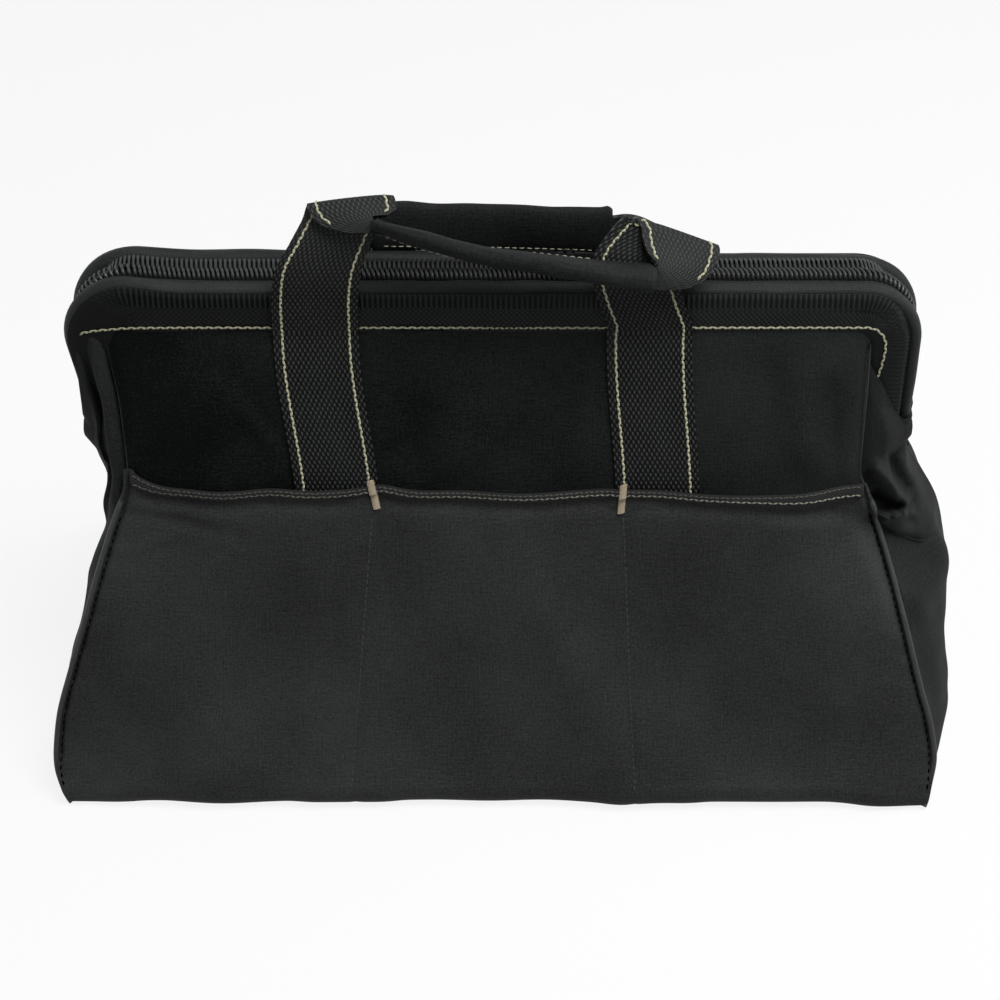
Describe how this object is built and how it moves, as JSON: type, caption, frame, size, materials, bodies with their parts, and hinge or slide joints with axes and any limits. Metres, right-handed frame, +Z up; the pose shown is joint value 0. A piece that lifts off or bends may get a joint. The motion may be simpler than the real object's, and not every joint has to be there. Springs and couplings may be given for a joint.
{
  "type": "tool tote bag",
  "caption": "Black cloth tool tote with a hinged wire-framed zip mouth, sewn webbing handles with cloth grips, piped seams and a divided pocket on each long side.",
  "frame": {"origin": "on the floor, under the middle of the bag", "axes": "+X to the right seen from the front, +Y to the back, +Z up"},
  "size_m": [0.4106, 0.2, 0.269],
  "materials": {
    "cloth": "black coated plain-weave polyester",
    "webbing": "black polypropylene webbing with pale stitch lines",
    "ribbed_tape": "black ribbed binding tape",
    "zipper_nylon": "black nylon coil",
    "piping": "black coated piping",
    "thread": "tan polyester thread",
    "frame_steel": "zinc-plated steel",
    "slider_metal": "black enamelled die-cast zinc",
    "stiffener": "black plastic board"
  },
  "bodies": {
    "bag_body": {"back_left_bartack": "thread", "back_left_piping": "piping", "back_left_rivet": "frame_steel", "back_left_strap_foot": "webbing", "back_left_strap_leg": "webbing", "back_lower_panel": "cloth", "back_pocket_binding": "ribbed_tape", "back_pocket_panel": "cloth", "back_right_bartack": "thread", "back_right_piping": "piping", "back_right_rivet": "frame_steel", "back_right_strap_foot": "webbing", "back_right_strap_leg": "webbing", "back_upper_panel": "cloth", "base_board": "stiffener", "bottom_panel": "cloth", "front_left_bartack": "thread", "front_left_piping": "piping", "front_left_rivet": "frame_steel", "front_left_strap_foot": "webbing", "front_left_strap_leg": "webbing", "front_lower_panel": "cloth", "front_pocket_binding": "ribbed_tape", "front_pocket_panel": "cloth", "front_right_bartack": "thread", "front_right_piping": "piping", "front_right_rivet": "frame_steel", "front_right_strap_foot": "webbing", "front_right_strap_leg": "webbing", "front_upper_panel": "cloth", "left_end_tab": "cloth", "left_gusset": "cloth", "left_gusset_top": "cloth", "left_hinge_plate": "frame_steel", "right_end_tab": "cloth", "right_gusset": "cloth", "right_gusset_top": "cloth", "right_hinge_plate": "frame_steel"},
    "front_mouth": {"front_frame_rod": "frame_steel", "front_rim_sleeve": "cloth", "front_rim_tape": "ribbed_tape", "front_zipper_tape": "ribbed_tape", "front_zipper_coil": "zipper_nylon"},
    "back_mouth": {"back_frame_rod": "frame_steel", "back_rim_sleeve": "cloth", "back_rim_tape": "ribbed_tape", "back_zipper_tape": "ribbed_tape", "back_zipper_coil": "zipper_nylon"},
    "front_handle": {"front_handle_strap": "webbing", "front_grip": "cloth"},
    "back_handle": {"back_handle_strap": "webbing", "back_grip": "cloth"},
    "left_slider": {"left_zipper_slider": "slider_metal"},
    "right_slider": {"right_zipper_slider": "slider_metal"},
    "left_pull": {"left_pull_tab": "slider_metal"},
    "right_pull": {"right_pull_tab": "slider_metal"}
  },
  "joints": [
    {"name": "front_mouth_hinge", "type": "hinge", "parent": "bag_body", "child": "front_mouth", "pos_m": [0, -0.011, 0.15], "axis": [1, 0, 0], "range_deg": [0, 75], "deforming": ["front_upper_panel", "front_left_strap_leg", "front_right_strap_leg", "left_gusset_top", "right_gusset_top"]},
    {"name": "back_mouth_hinge", "type": "hinge", "parent": "bag_body", "child": "back_mouth", "pos_m": [0, 0.011, 0.15], "axis": [1, 0, 0], "range_deg": [-75, 0], "deforming": ["back_upper_panel", "back_left_strap_leg", "back_right_strap_leg", "left_gusset_top", "right_gusset_top"]},
    {"name": "front_handle_swing", "type": "hinge", "parent": "front_mouth", "child": "front_handle", "pos_m": [0, -0.0186, 0.2064], "axis": [-1, 0, 0], "range_deg": [-125, 0], "deforming": ["front_left_strap_leg", "front_right_strap_leg"]},
    {"name": "back_handle_swing", "type": "hinge", "parent": "back_mouth", "child": "back_handle", "pos_m": [0, 0.0186, 0.2064], "axis": [1, 0, 0], "range_deg": [-140, 0], "deforming": ["back_left_strap_leg", "back_right_strap_leg"]},
    {"name": "left_slider_travel", "type": "slide", "parent": "back_mouth", "child": "left_slider", "axis": [-1, 0, 0], "range_m": [0, 0.17]},
    {"name": "right_slider_travel", "type": "slide", "parent": "back_mouth", "child": "right_slider", "axis": [1, 0, 0], "range_m": [0, 0.09]},
    {"name": "left_pull_hinge", "type": "hinge", "parent": "left_slider", "child": "left_pull", "pos_m": [0.0307, 0, 0.2331], "axis": [0, 1, 0], "range_deg": [0, 120]},
    {"name": "right_pull_hinge", "type": "hinge", "parent": "right_slider", "child": "right_pull", "pos_m": [0.0533, 0, 0.2331], "axis": [0, -1, 0], "range_deg": [0, 120]}
  ],
  "couplings": [
    {"joint": "back_mouth_hinge", "follows": "front_mouth_hinge", "ratio": -1}
  ]
}
